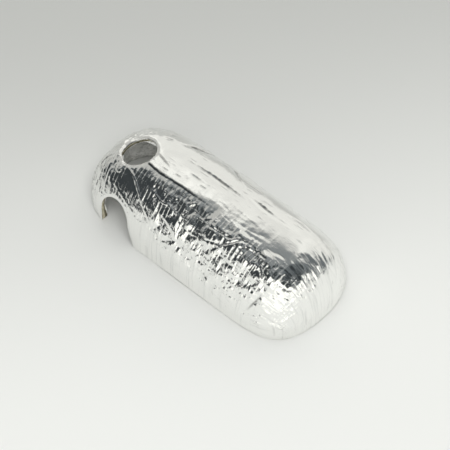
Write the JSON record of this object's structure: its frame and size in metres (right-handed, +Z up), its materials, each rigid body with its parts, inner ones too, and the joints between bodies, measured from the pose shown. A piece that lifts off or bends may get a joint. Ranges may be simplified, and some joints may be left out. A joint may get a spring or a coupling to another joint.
{
  "type": "exhaust manifold heat shield",
  "caption": "Moulded heat shield for an exhaust manifold: a domed, foil-faced fibre trough, open below, with a round hole in its top and an arch in its front wall.",
  "frame": {"origin": "middle of the open rim's outline, in the rim's plane", "axes": "+X along the shield from the tail, where the hole and the arch are, to the blunt nose; -Y out of the front wall, which has the arch; +Z up through the crown"},
  "size_m": [0.234, 0.1, 0.0661],
  "materials": {
    "foil": "bright crumpled foil",
    "glass_yarn": "flat glass yarn",
    "cream_mat": "needled glass mat",
    "olive_mat": "needled glass mat, darker",
    "grey_liner": "matt facing"
  },
  "bodies": {
    "root": {"outer_foil": "foil", "scrim_cross_yarns": "glass_yarn", "scrim_long_yarns": "glass_yarn", "outer_mat": "cream_mat", "inner_mat": "olive_mat", "inner_liner": "grey_liner"}
  },
  "joints": []
}
